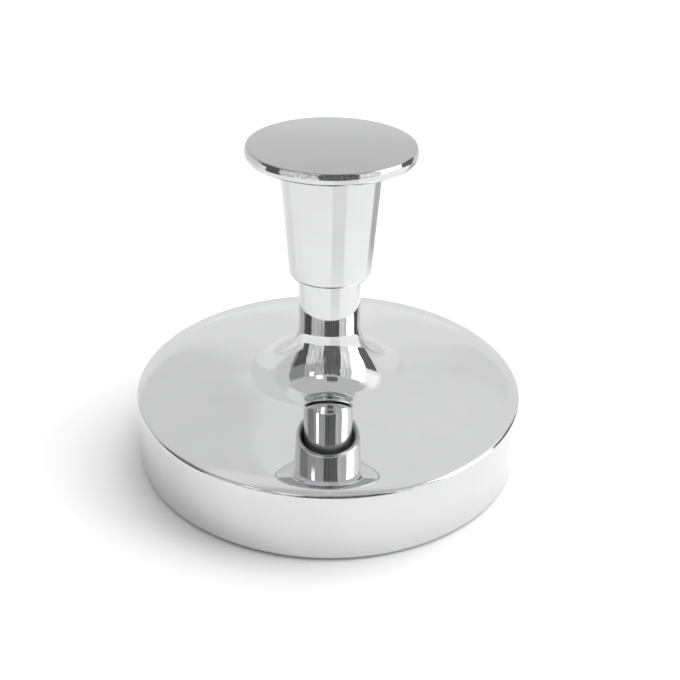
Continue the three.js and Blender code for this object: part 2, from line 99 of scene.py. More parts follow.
def rounded(corners, steps=4):
    """A closed outline from corners (r, z) or (r, z, radius), with an arc where a corner has a radius.

    A pair of points stands just outside each arc, so that smooth shading stays inside the arc.
    """
    guard = 1.15  # distance of those points from the corner, against the arc's own ends
    outline = []
    for i, corner in enumerate(corners):
        here = Vector(corner[:2])
        if len(corner) == 2:
            outline.append(tuple(here))
            continue
        radius = corner[2]
        back = (Vector(corners[i - 1][:2]) - here).normalized()
        on = (Vector(corners[(i + 1) % len(corners)][:2]) - here).normalized()
        half = math.acos(max(-1, min(1, back.dot(on)))) / 2
        reach = radius / math.tan(half)
        centre = here + (back + on).normalized() * (radius / math.sin(half))
        start = here + back * reach - centre
        turn = math.pi - 2 * half
        if back.x * on.y - back.y * on.x > 0:
            turn = -turn
        outline.append(tuple(here + back * reach * guard))
        for k in range(steps + 1):
            a = turn * k / steps
            spoke = Vector((
                start.x * math.cos(a) - start.y * math.sin(a),
                start.x * math.sin(a) + start.y * math.cos(a),
            ))
            outline.append(tuple(centre + spoke))
        outline.append(tuple(here + on * reach * guard))
    return outline


def graph(height, start, end, steps):
    """Points (r, height(r)) at even steps of r."""
    radii = [start + (end - start) * i / steps for i in range(steps + 1)]
    return [(r, height(r)) for r in radii]


def ring_outline(inner, outer, bottom, top, edge):
    """A washer's outline, its four edges broken by the same radius."""
    corners = [(inner, bottom), (outer, bottom), (outer, top), (inner, top)]
    return rounded([(r, z, edge) for r, z in corners])


# ---------- Meshes ----------


def finished(mesh, sharp=32):
    """Smooth shading, with an edge where two faces meet at more than that many degrees."""
    mesh.shade_smooth()
    mesh.set_sharp_from_angle(angle=math.radians(sharp))
    return mesh


def turned(name, outline, sides=MEDIUM, shape=None):
    """A mesh turned about the Z axis from a closed outline in millimetres.

    shape(r, z, angle) may return another r, for a thread or a knurl.
    """
    bm = bmesh.new()
    rows = []
    for r, z in outline:
        if r < 1e-6:
            rows.append([bm.verts.new((0, 0, z * MM))])
            continue
        row = []
        for k in range(sides):
            angle = 2 * math.pi * k / sides
            radius = (shape(r, z, angle) if shape else r) * MM
            row.append(bm.verts.new((radius * math.cos(angle), radius * math.sin(angle), z * MM)))
        rows.append(row)
    for low, high in zip(rows, rows[1:] + rows[:1]):
        if len(low) == 1 and len(high) == 1:
            continue
        for k in range(sides):
            n = (k + 1) % sides
            if len(low) == 1:
                bm.faces.new((low[0], high[n], high[k]))
            elif len(high) == 1:
                bm.faces.new((low[k], low[n], high[0]))
            else:
                bm.faces.new((low[k], low[n], high[n], high[k]))
    bmesh.ops.recalc_face_normals(bm, faces=bm.faces)
    mesh = bpy.data.meshes.new(name)
    bm.to_mesh(mesh)
    bm.free()
    return finished(mesh)


def bored(mesh, tools, operation="DIFFERENCE"):
    """The mesh cut by, or joined to, the tool meshes."""
    scene = bpy.context.scene.collection
    body = bpy.data.objects.new("work", mesh)
    scene.objects.link(body)
    cutters = []
    for tool in tools:
        cutter = bpy.data.objects.new("tool", tool)
        scene.objects.link(cutter)
        cutters.append(cutter)
        modifier = body.modifiers.new("cut", "BOOLEAN")
        modifier.object = cutter
        modifier.operation = operation
        modifier.solver = "MANIFOLD"
    bpy.context.view_layer.update()
    result = bpy.data.meshes.new_from_object(body.evaluated_get(bpy.context.evaluated_depsgraph_get()))
    for obj in [body, *cutters]:
        bpy.data.objects.remove(obj)
    result.name = mesh.name
    result.materials.clear()
    return finished(result)


def washer(node, bore, edge):
    """A plain ring as large as the CAD node, with its own bore and broken edges."""
    radius, bottom, top = span(node)
    return turned(node, ring_outline(bore, radius, bottom, top, edge))


def rod(radius, bottom, top):
    """A solid round bar, used as a drill."""
    return turned("rod", [(0, bottom), (radius, bottom), (radius, top), (0, top)], SMALL)


def tube(radius, bore, bottom, top, bore_top):
    """A round boss with a blind hole from below."""
    return turned("tube", [
        (0, bore_top), (bore, bore_top), (bore, bottom), (radius, bottom), (radius, top), (0, top),
    ], SMALL)


def box_mesh(width, depth, height, taper=1.0):
    """A closed block in millimetres, centred on X and Y and standing on z 0; taper scales its top."""
    corners = []
    for z, scale in ((0, 1), (height, taper)):
        for x, y in ((-1, -1), (1, -1), (1, 1), (-1, 1)):
            corners.append((x * width * scale / 2 * MM, y * depth * scale / 2 * MM, z * MM))
    mesh = bpy.data.meshes.new("block")
    sides = [(k, (k + 1) % 4, (k + 1) % 4 + 4, k + 4) for k in range(4)]
    mesh.from_pydata(corners, [], [(3, 2, 1, 0), (4, 5, 6, 7), *sides])
    return mesh


def moved(mesh, x=0.0, y=0.0, z=0.0, turn=0.0):
    """A copy of the mesh, turned about Z and then moved by millimetres."""
    copy = mesh.copy()
    copy.transform(Matrix.Translation((x * MM, y * MM, z * MM)) @ Matrix.Rotation(turn, 4, "Z"))
    return copy


def stand_for(node, mesh, material, x=0.0, y=0.0, turn=0.0):
    """Shows the mesh in place of the CAD node, on the node's body and in the given material.

    x, y and turn place a piece whose own axis isn't the object's, in millimetres and radians.
    """
    piece = bpy.data.objects.new(node + ".visual", mesh)
    bpy.context.scene.collection.objects.link(piece)
    piece.matrix_world = Matrix.Translation((x * MM, y * MM, 0)) @ Matrix.Rotation(turn, 4, "Z")
    if not mesh.materials:
        mesh.materials.append(material)
    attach(piece, BODY[node])
    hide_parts(node)
    return piece


def line(mesh, material, lining, inside):
    """Gives the faces whose middle (r, z), in millimetres, is inside the lining material."""
    mesh.materials.append(material)
    mesh.materials.append(lining)
    for face in mesh.polygons:
        x, y, z = face.center / MM
        if inside(math.hypot(x, y), z):
            face.material_index = 1
    return mesh


# ---------- Shader nodes ----------


def feed(tree, socket, value):
    """Links a node's output to the socket, or sets the socket to a plain value."""
    if isinstance(value, bpy.types.NodeSocket):
        tree.links.new(value, socket)
    else:
        socket.default_value = value


def calculate(tree, operation, *values):
    """A Math node's output; each value is a number or another node's output."""
    node = tree.nodes.new("ShaderNodeMath")
    node.operation = operation
    for socket, value in zip(node.inputs, values):
        feed(tree, socket, value)
    return node.outputs[0]


def spread(tree, value, low, high, start=0.3, stop=0.7):
    """The value from start to stop, laid out from low to high."""
    node = tree.nodes.new("ShaderNodeMapRange")
    feed(tree, node.inputs["Value"], value)
    feed(tree, node.inputs["From Min"], start)
    feed(tree, node.inputs["From Max"], stop)
    feed(tree, node.inputs["To Min"], low)
    feed(tree, node.inputs["To Max"], high)
    return node.outputs["Result"]


def place(tree):
    """Coordinates fixed to the piece, in metres."""
    return tree.nodes.new("ShaderNodeTexCoord").outputs["Object"]


def split(tree, vector):
    """The three coordinates of a vector."""
    node = tree.nodes.new("ShaderNodeSeparateXYZ")
    tree.links.new(vector, node.inputs[0])
    return node.outputs["X"], node.outputs["Y"], node.outputs["Z"]


def joined(tree, *axes):
    """A vector from three coordinates."""
    node = tree.nodes.new("ShaderNodeCombineXYZ")
    for socket, value in zip(node.inputs, axes):
        feed(tree, socket, value)
    return node.outputs[0]


def noise(tree, vector, size, detail=2.0):
    """Noise from 0 to 1 whose blotches are about that many millimetres across."""
    node = tree.nodes.new("ShaderNodeTexNoise")
    tree.links.new(vector, node.inputs["Vector"])
    node.inputs["Scale"].default_value = 1 / (size * MM)
    node.inputs["Detail"].default_value = detail
    return node.outputs["Fac"]


def raised(tree, height, depth, below=None):
    """A bump of that depth in millimetres, on top of another bump if one is given."""
    node = tree.nodes.new("ShaderNodeBump")
    node.inputs["Strength"].default_value = 1
    node.inputs["Distance"].default_value = depth * MM
    tree.links.new(height, node.inputs["Height"])
    if below:
        tree.links.new(below, node.inputs["Normal"])
    return node.outputs["Normal"]


def tinted(tree, colour, factor):
    """The colour scaled by a factor from a node."""
    node = tree.nodes.new("ShaderNodeVectorMath")
    node.operation = "SCALE"
    node.inputs[0].default_value = colour
    tree.links.new(factor, node.inputs["Scale"])
    return node.outputs[0]


def lathe_space(tree):
    """Coordinates (distance from the Z axis, 0, z), for marks that run round a turned piece."""
    x, y, z = split(tree, place(tree))
    radius = calculate(tree, "SQRT", calculate(tree, "ADD", calculate(tree, "MULTIPLY", x, x),
                                               calculate(tree, "MULTIPLY", y, y)))
    return joined(tree, radius, 0.0, z)


# ---------- Materials ----------


def surface(name, colour, metallic, roughness, rubbed, mottle, mottle_size, grain, turning=None):
    """A procedural finish.

    rubbed: how far the roughness wanders to either side.
    mottle: how much lighter or darker the colour gets in blotches of mottle_size millimetres.
    grain: size and depth of the surface grain in millimetres.
    turning: width and depth of the marks that a lathe leaves, in millimetres.
    """
    material = bpy.data.materials.new(name)
    material.use_nodes = True
    tree = material.node_tree
    principled = tree.nodes["Principled BSDF"]
    principled.inputs["Metallic"].default_value = metallic
    here = place(tree)
    blotches = spread(tree, noise(tree, here, mottle_size, 4), 1 - mottle, 1 + mottle)
    feed(tree, principled.inputs["Base Color"], tinted(tree, colour, blotches))
    wear = noise(tree, here, mottle_size * 0.6, 3)
    feed(tree, principled.inputs["Roughness"], spread(tree, wear, roughness - rubbed, roughness + rubbed))
    grain_size, grain_depth = grain
    normal = raised(tree, noise(tree, here, grain_size, 3), grain_depth)
    if turning:
        mark_width, mark_depth = turning
        normal = raised(tree, noise(tree, lathe_space(tree), mark_width, 2), mark_depth, normal)
    tree.links.new(normal, principled.inputs["Normal"])
    return material


def chrome(name, palm_worn_and_shaded=False):
    """Mirror chrome over a hand-polished casting: faint waves, polishing marks and finger haze.

    Where a palm rubs the knob's face, the plate is duller from wear, and its colour is painted a little
    darker there as painted shade.
    """
    haze_size, tone_size, wave_size, mark_width = 26, 9, 13, 0.7
    wave_depth, mark_depth = 0.02, 0.0004
    # The first darkens the colour of the knob's face as painted shade; the second is the extra roughness
    # of palm wear.
    painted_shade_tone, rubbed_roughness = 0.67, 0.07
    material = bpy.data.materials.new(name)
    material.use_nodes = True
    tree = material.node_tree
    principled = tree.nodes["Principled BSDF"]
    principled.inputs["Metallic"].default_value = 1
    here = place(tree)
    haze = noise(tree, here, haze_size, 3)
    rough = spread(tree, haze, 0.015, 0.06, 0.35, 0.75)
    bright = spread(tree, noise(tree, here, tone_size, 2), 0.985, 1.015)
    if palm_worn_and_shaded:
        height = split(tree, here)[2]
        face = spread(tree, height, 0, 1, WORN_AND_SHADED_FACE - 0.0004, WORN_AND_SHADED_FACE + 0.0001)
        # painted shade: the colour of the knob's face is darkened
        bright = calculate(tree, "MULTIPLY", bright, spread(tree, face, 1, painted_shade_tone, 0, 1))
        rough = calculate(tree, "ADD", rough, calculate(tree, "MULTIPLY", face, rubbed_roughness))
    feed(tree, principled.inputs["Base Color"], tinted(tree, CHROME_COLOUR, bright))
    feed(tree, principled.inputs["Roughness"], rough)
    waves = raised(tree, noise(tree, here, wave_size, 0), wave_depth)
    marks = raised(tree, noise(tree, lathe_space(tree), mark_width, 1), mark_depth, waves)
    tree.links.new(marks, principled.inputs["Normal"])
    return material


CHROME_COLOUR = (0.7, 0.702, 0.705)
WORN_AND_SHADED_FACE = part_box("palm_knob")[1].z - 0.0006  # height above which the palm rubs, and above which the colour is painted darker as painted shade

CHROME = chrome("mirror_chrome")
# The knob: palm wear on its face, and painted shade that darkens the face's colour.
KNOB_CHROME = chrome("palm_worn_and_shaded_chrome", palm_worn_and_shaded=True)
NICKEL = surface(
    "nickel_plate", (0.66, 0.65, 0.62), metallic=1, roughness=0.26, rubbed=0.06,
    mottle=0.05, mottle_size=6, grain=(0.25, 0.004))
STEEL = surface(
    "zinc_plated_steel", (0.5, 0.51, 0.53), metallic=1, roughness=0.34, rubbed=0.1,
    mottle=0.08, mottle_size=2.5, grain=(0.18, 0.004), turning=(0.25, 0.003))
STAINLESS = surface(
    "turned_stainless", (0.62, 0.63, 0.64), metallic=1, roughness=0.2, rubbed=0.05,
    mottle=0.03, mottle_size=5, grain=(0.12, 0.001), turning=(0.16, 0.0025))
ZINC = surface(
    "cast_zinc", (0.42, 0.43, 0.44), metallic=1, roughness=0.52, rubbed=0.1,
    mottle=0.12, mottle_size=3, grain=(0.35, 0.03))
BRONZE = surface(
    "sintered_bronze", (0.58, 0.4, 0.2), metallic=1, roughness=0.42, rubbed=0.1,
    mottle=0.14, mottle_size=0.7, grain=(0.12, 0.02), turning=(0.3, 0.003))
UNPOLISHED = surface(
    "unpolished_inside", (0.58, 0.58, 0.585), metallic=0, roughness=0.5, rubbed=0.08,
    mottle=0.12, mottle_size=4, grain=(0.3, 0.01), turning=(0.4, 0.01))
COVER_PLASTIC = surface(
    "moulded_cover", (0.022, 0.023, 0.025), metallic=0, roughness=0.46, rubbed=0.07,
    mottle=0.1, mottle_size=12, grain=(0.22, 0.018))
NYLON = surface(
    "natural_nylon", (0.78, 0.77, 0.71), metallic=0, roughness=0.38, rubbed=0.06,
    mottle=0.03, mottle_size=5, grain=(0.3, 0.004), turning=(0.22, 0.006))
RUBBER = surface(
    "rubber", (0.022, 0.023, 0.024), metallic=0, roughness=0.74, rubbed=0.08,
    mottle=0.2, mottle_size=4, grain=(0.3, 0.02))

# ---------- Camera ----------

CAMERA_PLACE = Vector((2.8, -244.58, 168.7)) * MM
CAMERA_PITCH = 29.35  # degrees below the horizon
CAMERA_ROLL = 1.07  # degrees
CAMERA_LENS = 57.37  # millimetres, on a sensor SENSOR_WIDTH millimetres wide
SENSOR_WIDTH = 36


def camera():
    """The view that the object is shown from."""
    data = bpy.data.cameras.new("camera")
    data.lens = CAMERA_LENS
    data.sensor_width = SENSOR_WIDTH
    data.clip_start = 0.01
    obj = bpy.data.objects.new("camera", data)
    bpy.context.scene.collection.objects.link(obj)
    tilt = Matrix.Rotation(math.radians(90 - CAMERA_PITCH), 4, "X")
    roll = Matrix.Rotation(math.radians(CAMERA_ROLL), 4, "Z")
    obj.matrix_world = Matrix.Translation(CAMERA_PLACE) @ tilt @ roll
    bpy.context.scene.camera = obj


camera()

# ---------- Base ----------

BASE_RADIUS, SHELL_BOTTOM, NECK_TOP = span("base_shell")
RIM_HEIGHT = SHELL_BOTTOM + 18.3
RIM_EDGE = 1  # radius of the edge between side wall and top face
TOP_SLOPE = math.radians(5.9)
RIM_SLOPE = math.radians(19.3)  # of the top face where it meets the edge
SHOULDER_POWER = 16  # how suddenly the one slope turns into the other
NECK_RADIUS = 7.85
NECK_BORE = 5.7
FLARE_LOWER_RADIUS = 14
FLARE_UPPER_RADIUS = 15
FLARE_BREAK = math.radians(48)  # steepness where the flare's two arcs meet
WALL = 2

RIM_START = BASE_RADIUS - RIM_EDGE * (1 - math.sin(RIM_SLOPE))


def top_face(r):
    """Height of the top face: one slope over most of it, growing towards the rim."""
    inner = math.tan(TOP_SLOPE)
    extra = math.tan(RIM_SLOPE) - inner
    order = SHOULDER_POWER + 1
    bend = extra * RIM_START / order * (1 - (r / RIM_START) ** order)
    return RIM_HEIGHT + inner * (RIM_START - r) + bend


# The flare is two arcs: the upper one runs into the neck, the lower one into the top face.
FLARE_STEP = FLARE_LOWER_RADIUS - FLARE_UPPER_RADIUS
FLARE_UPPER_R = NECK_RADIUS + FLARE_UPPER_RADIUS
FLARE_LOWER_R = FLARE_UPPER_R + FLARE_STEP * math.sin(FLARE_BREAK)
FLARE_FOOT = FLARE_LOWER_R - FLARE_LOWER_RADIUS * math.sin(TOP_SLOPE)
FLARE_LOWER_Z = top_face(FLARE_FOOT) + FLARE_LOWER_RADIUS * math.cos(TOP_SLOPE)
FLARE_UPPER_Z = FLARE_LOWER_Z - FLARE_STEP * math.cos(FLARE_BREAK)


def base_shell():
    """Puck, flare and neck in one hollow casting, with bosses for the cover's screws."""
    edge = 0.8
    neck_edge = 0.5
    bush_seat, bush_seat_top = 9.5, 19.6  # recess for the lower bush's flange
    yoke_seat, yoke_face = 30.6, 18.2  # thick middle that the yoke is screwed to
    boss, boss_bore, boss_foot, boss_top, boss_bore_top = 3.4, 1.55, 3.7, 19.6, 13
    yoke_hole, yoke_hole_top = 1.3, 21.4
    rim_centre = top_face(RIM_START) - RIM_EDGE * math.cos(RIM_SLOPE)
    foot = 270 - math.degrees(TOP_SLOPE)
    turn = 270 - math.degrees(FLARE_BREAK)
    inside = BASE_RADIUS - WALL
    outline = [
        *arc(BASE_RADIUS - edge, SHELL_BOTTOM + edge, edge, -90, 0),
        (BASE_RADIUS, SHELL_BOTTOM + edge + 0.1),
        (BASE_RADIUS, rim_centre - 0.1),
        *arc(BASE_RADIUS - RIM_EDGE, rim_centre, RIM_EDGE, 0, 90 - math.degrees(RIM_SLOPE), 16),
        *graph(top_face, RIM_START - 0.05, FLARE_FOOT, 72),
        *arc(FLARE_LOWER_R, FLARE_LOWER_Z, FLARE_LOWER_RADIUS, foot, turn, 32)[1:],
        *arc(FLARE_UPPER_R, FLARE_UPPER_Z, FLARE_UPPER_RADIUS, turn, 180, 64)[1:],
        (NECK_RADIUS, NECK_TOP - neck_edge - 0.1),
        *arc(NECK_RADIUS - neck_edge, NECK_TOP - neck_edge, neck_edge, 0, 90, 8),
        (NECK_BORE, NECK_TOP),
        (NECK_BORE, bush_seat_top),
        (bush_seat, bush_seat_top),
        (bush_seat, yoke_face),
        (yoke_seat, yoke_face),
        *graph(lambda r: top_face(r) - WALL, yoke_seat + 0.4, inside - 3, 12),
        (inside, top_face(inside) - WALL - 3),
        (inside, SHELL_BOTTOM),
    ]
    shell = turned("base_shell", outline, FINE)
    pillar = tube(boss, boss_bore, boss_foot, boss_top, boss_bore_top)
    drill = rod(yoke_hole, yoke_face - 1.2, yoke_hole_top)
    bosses = [moved(pillar, x, y) for x, y in places("cover_screw", 6)]
    holes = [moved(drill, x, y) for x, y in places("yoke_screw", 3)]
    return bored(bored(shell, bosses, "UNION"), holes)


def palm_knob():
    """Disc with a crowned face, a rounded side, a hub below it and a bored spigot."""
    radius, bottom, crown_top = span("palm_knob")
    spigot, hub_foot = 5.8, bottom + 5.3
    bore, bore_top = 3, bottom + 7.9
    hub, hub_edge, hub_fillet = 12.4, 0.3, 1.4
    underside = crown_top - 3.5
    side = 3.6  # radius of the gently rounded side
    top_edge, bottom_edge = 0.5, 1.1
    lean = 22  # degrees above the horizon that the side faces at its top
    droop = 8  # and below it, at its bottom
    rise = math.sin(math.radians(lean))
    dip = math.sin(math.radians(droop))
    side_z = underside + bottom_edge * (1 - dip) + side * dip
    side_r = radius - side
    top_r = side_r + (side - top_edge) * math.cos(math.radians(lean))
    top_z = side_z + (side - top_edge) * rise
    bottom_r = side_r + (side - bottom_edge) * math.cos(math.radians(droop))
    bottom_z = side_z - (side - bottom_edge) * dip
    crown = crown_top - top_z - top_edge
    outline = [
        (0, bore_top),
        (bore, bore_top),
        (bore, bottom),
        (spigot, bottom),
        (spigot, hub_foot),
        (hub - hub_edge, hub_foot),
        (hub, hub_foot + hub_edge),
        *arc(hub + hub_fillet, underside - hub_fillet, hub_fillet, 165, 90, 16),
        *arc(bottom_r, bottom_z, bottom_edge, -90, -droop, 16),
        *arc(side_r, side_z, side, -droop, lean, 32)[1:-1],
        *arc(top_r, top_z, top_edge, lean, 90, 16),
        *graph(lambda r: crown_top - crown * (r / top_r) ** 2, top_r - 0.05, 0, 32),
    ]
    return turned("palm_knob", outline, FINE)


def grip_sleeve():
    """Hollow taper with a rounded lip and a web at its top that the knob's spigot goes through."""
    top_radius, bottom, top = span("grip_sleeve")
    low_radius = 10.25
    wall = 1.4
    taper = (top_radius - low_radius) / (top - bottom)

    def outside(z):
        return low_radius + taper * (z - bottom)

    lip = wall / 2
    middle = outside(bottom + lip) - lip
    web = 76.2
    web_bore = 6.1
    top_edge = 0.3
    outline = [
        *arc(middle, bottom + lip, lip, 180, 360, 24),
        (outside(bottom + lip + 0.1), bottom + lip + 0.1),
        (outside(top - top_edge - 0.1), top - top_edge - 0.1),
        (outside(top - top_edge), top - top_edge),
        (outside(top) - top_edge, top),
        (web_bore, top),
        (web_bore, web),
        (outside(web) - wall, web),
        (outside(bottom + lip + 0.1) - wall, bottom + lip + 0.1),
    ]
    sleeve = turned("grip_sleeve", outline, FINE)
    return line(sleeve, CHROME, UNPOLISHED, lambda r, z: r < outside(z) - wall * 0.6 and z < top - 0.1)


stand_for("base_shell", base_shell(), CHROME)
stand_for("palm_knob", palm_knob(), KNOB_CHROME)
stand_for("grip_sleeve", grip_sleeve(), CHROME)

# ---------- Screws ----------

CLEARANCE = 0.2  # of a screw in its hole
THREAD_DEPTH = 0.22
SCREW_TURN = 0.7  # radians by which each cover screw's recess differs from the one before


def thread(bottom, top, pitch, depth):
    """A shape for turned(): a screw thread cut into the radius between two heights."""

    def cut(r, z, angle):
        if not bottom <= z <= top:
            return r
        phase = (z / pitch - angle / (2 * math.pi)) % 1
        fade = min(1, (z - bottom) / pitch, (top - z) / pitch)
        return r - depth * fade * abs(2 * phase - 1)

    return cut


def column(radius, bottom, top, pitch):
    """Outline points up a cylinder, close enough together to carry a thread."""
    steps = max(2, round((top - bottom) / pitch * 6))
    return [(radius, bottom + (top - bottom) * i / steps) for i in range(steps + 1)]


def countersunk_screw(head, shank, depth, face, tip, pitch):
    """A countersunk screw that points up, with a cross recess."""
    bottom = face + 0.05
    edge = 0.15
    thread_bottom, thread_top = bottom + depth + 0.1, tip - 1
    outline = [
        (0, bottom),
        *arc(head - edge, bottom + edge, edge, -90, 0, 4),
        (head, bottom + 2 * edge),
        (shank, bottom + depth),
        *column(shank, thread_bottom, thread_top, pitch),
        (shank * 0.3, tip - 0.1),
        (0, tip),
    ]
    blank = turned("screw", outline, SMALL, thread(thread_bottom, thread_top, pitch, THREAD_DEPTH))
    arm = box_mesh(head * 1.15, head * 0.24, 1, 0.55)
    return bored(blank, [moved(arm, z=bottom - 0.1), moved(arm, z=bottom - 0.1, turn=math.pi / 2)])


def countersunk_hole(head, shank, depth, face, tip):
    """The room that such a screw takes, with its clearance."""
    return turned("hole", [
        (0, face - 1),
        (head + CLEARANCE, face - 1),
        (head + CLEARANCE, face + 0.3 + CLEARANCE),
        (shank + CLEARANCE, face + depth + CLEARANCE),
        (shank + CLEARANCE, tip),
        (0, tip),
    ], SMALL)


COVER_FACE, COVER_TOP = span("bottom_cover")[1:]
YOKE_RADIUS, YOKE_FOOT, YOKE_TOP = span("yoke_cup")
YOKE_PLATE = YOKE_TOP - 3
PAD_RADIUS, PAD_FACE, PAD_TOP = span("ejector_pad")

COVER_SCREW = {"head": 2.8, "shank": 1.4, "depth": 1.4, "face": COVER_FACE, "tip": 12}
YOKE_SCREW = {"head": 2.8, "shank": 1.15, "depth": 1.5, "face": YOKE_PLATE, "tip": 21}
PAD_SCREW = {"head": 2.6, "shank": 1.15, "depth": 1.35, "face": PAD_FACE, "tip": PAD_TOP + 6}
COVER_SCREW_PLACES = places("cover_screw", 6)
YOKE_SCREW_PLACES = places("yoke_screw", 3)

cover_screw = countersunk_screw(**COVER_SCREW, pitch=0.7)
for i, (x, y) in enumerate(COVER_SCREW_PLACES):
    stand_for(f"cover_screw_{i + 1}", cover_screw, STEEL, x, y, SCREW_TURN * i)
yoke_screw = countersunk_screw(**YOKE_SCREW, pitch=0.5)
for i, (x, y) in enumerate(YOKE_SCREW_PLACES):
    stand_for(f"yoke_screw_{i + 1}", yoke_screw, STEEL, x, y)
stand_for("pad_screw", countersunk_screw(**PAD_SCREW, pitch=0.5), STAINLESS)

# ---------- Underside ----------

FOOT_RADIUS, _, FOOT_TOP = span("foot_ring")
FOOT_INNER = FOOT_RADIUS - 4.5
WELL_FLANGE_RADIUS, WELL_MOUTH, WELL_TOP = span("tag_well")
WELL_OUTER = 11.6
WELL_SHEET = 0.6
ROD_HOLE = 4.2


def bottom_cover():
    """Moulded plate with a groove for the foot ring, a fine moulded line and countersunk holes."""
    outer = span("bottom_cover")[0]
    aperture = WELL_OUTER + 0.35
    groove_top = FOOT_TOP + 0.1
    line_radius, line_width, line_depth = 29.6, 0.6, 0.25
    plate = turned("bottom_cover", rounded([
        (aperture, COVER_FACE, 0.3),
        (line_radius, COVER_FACE),
        (line_radius + 0.1, COVER_FACE + line_depth),
        (line_radius + line_width - 0.1, COVER_FACE + line_depth),
        (line_radius + line_width, COVER_FACE),
        (FOOT_INNER - 0.2, COVER_FACE, 0.15),
        (FOOT_INNER - 0.2, groove_top),
        (FOOT_RADIUS + 0.2, groove_top),
        (FOOT_RADIUS + 0.2, COVER_FACE, 0.15),
        (outer, COVER_FACE, 0.4),
        (outer, COVER_TOP),
        (aperture, COVER_TOP),
    ]), FINE)
    hole = countersunk_hole(**COVER_SCREW)
    return bored(plate, [moved(hole, x, y) for x, y in COVER_SCREW_PLACES])


def foot_ring():
    """Rubber ring with two grooves in the face that it stands on."""
    grooves = []
    for middle in (FOOT_INNER + 1.6, FOOT_RADIUS - 1.6):
        grooves += [(middle - 0.3, 0, 0.1), (middle, 0.4), (middle + 0.3, 0, 0.1)]
    return turned("foot_ring", rounded([
        (FOOT_INNER, 0, 0.5),
        *grooves,
        (FOOT_RADIUS, 0, 0.5),
        (FOOT_RADIUS, FOOT_TOP),
        (FOOT_INNER, FOOT_TOP),
    ]), FINE)


def tag_well():
    """Drawn cup, mouth down, with a flange."""
    inner = WELL_OUTER - WELL_SHEET
    flange = COVER_TOP + 0.1
    return turned("tag_well", rounded([
        (inner, WELL_MOUTH, 0.28),
        (WELL_OUTER, WELL_MOUTH, 0.28),
        (WELL_OUTER, flange),
        (WELL_FLANGE_RADIUS, flange, 0.1),
        (WELL_FLANGE_RADIUS, flange + WELL_SHEET, 0.1),
        (WELL_OUTER, flange + WELL_SHEET, 0.2),
        (WELL_OUTER, WELL_TOP, 1.5),
        (ROD_HOLE, WELL_TOP, 0.1),
        (ROD_HOLE, WELL_TOP - WELL_SHEET, 0.1),
        (inner, WELL_TOP - WELL_SHEET, 1),
    ], 8), FINE)


def ejector_pad():
    """Nylon disc with two turned grooves in its face."""
    grooves = []
    for radius in (5, 7.2):
        grooves += [
            (radius, PAD_FACE), (radius + 0.1, PAD_FACE + 0.25),
            (radius + 0.4, PAD_FACE + 0.25), (radius + 0.5, PAD_FACE),
        ]
    disc = turned("ejector_pad", rounded([
        (0, PAD_FACE),
        *grooves,
        (PAD_RADIUS, PAD_FACE, 0.5),
        (PAD_RADIUS, PAD_TOP, 0.2),
        (0, PAD_TOP),
    ]), MEDIUM)
    return bored(disc, [countersunk_hole(**PAD_SCREW)])


stand_for("bottom_cover", bottom_cover(), COVER_PLASTIC)
stand_for("foot_ring", foot_ring(), RUBBER)
stand_for("tag_well", tag_well(), STAINLESS)
stand_for("ejector_pad", ejector_pad(), NYLON)

# ---------- Magnet, yoke and weight ----------


def yoke_cup():
    """Steel pot, open downwards, with holes for the screws that hold it up."""
    skirt = span("magnet_ring_1")[0] + 0.4
    bore = ROD_HOLE + 0.8
    cup = turned("yoke_cup", rounded([
        (skirt, YOKE_FOOT, 0.2),
        (YOKE_RADIUS, YOKE_FOOT, 0.4),
        (YOKE_RADIUS, YOKE_TOP, 0.8),
        (bore, YOKE_TOP, 0.2),
        (bore, YOKE_PLATE, 0.2),
        (skirt, YOKE_PLATE, 0.5),
    ]), MEDIUM)
    hole = countersunk_hole(**YOKE_SCREW)
    return bored(cup, [moved(hole, x, y) for x, y in YOKE_SCREW_PLACES])


def pole_core():
    """Soft iron core, its lower end coned to gather the field over the tag's lock."""
    radius, bottom, top = span("pole_core")
    tip, cone_height = 7, 2
    return turned("pole_core", rounded([
        (ROD_HOLE, bottom, 0.2),
        (tip, bottom, 0.3),
        (radius, bottom + cone_height, 0.3),
        (radius, top, 0.3),
        (ROD_HOLE, top, 0.2),
    ]), MEDIUM)


def weight_ring():
    """Cast ring, its upper outer edge broken to clear the shell's shoulder."""
    radius, bottom, top = span("weight_ring")
    inner = 39.8
    bevel, inner_bevel = 2, 0.8
    return turned("weight_ring", rounded([
        (inner, bottom, 0.6),
        (radius, bottom, 0.6),
        (radius, top - bevel, 1),
        (radius - bevel, top, 1),
        (inner + inner_bevel, top, 0.4),
        (inner, top - inner_bevel, 0.4),
    ]), FINE)


MAGNET_BORE = 12.1

for i in range(3):
    name = f"magnet_ring_{i + 1}"
    stand_for(name, washer(name, MAGNET_BORE, 0.35), NICKEL)
stand_for("yoke_cup", yoke_cup(), STEEL)
stand_for("pole_core", pole_core(), STEEL)
stand_for("weight_ring", weight_ring(), ZINC)

# ---------- Guides and plunger ----------

BUSH_BORE = 3.62
BUSH_BODY = 5.6
BUSH_FLANGE = 1.2  # thickness


def upper_guide_bush():
    """Flanged bush that hangs in the top of the neck."""
    flange, bottom, top = span("upper_guide_bush")
    shoulder = top - BUSH_FLANGE
    return turned("upper_guide_bush", rounded([
        (BUSH_BORE, bottom, 0.3),
        (BUSH_BODY, bottom, 0.4),
        (BUSH_BODY, shoulder),
        (flange, shoulder, 0.15),
        (flange, top, 0.3),
        (BUSH_BORE, top, 0.3),
    ]), MEDIUM)


def lower_guide_bush():
    """Flanged bush pushed into the neck's bore from below."""
    flange, bottom, top = span("lower_guide_bush")
    shoulder = bottom + BUSH_FLANGE
    return turned("lower_guide_bush", rounded([
        (BUSH_BORE, bottom, 0.3),
        (flange, bottom, 0.3),
        (flange, shoulder, 0.15),
        (BUSH_BODY, shoulder),
        (BUSH_BODY, top, 0.4),
        (BUSH_BORE, top, 0.3),
    ]), MEDIUM)


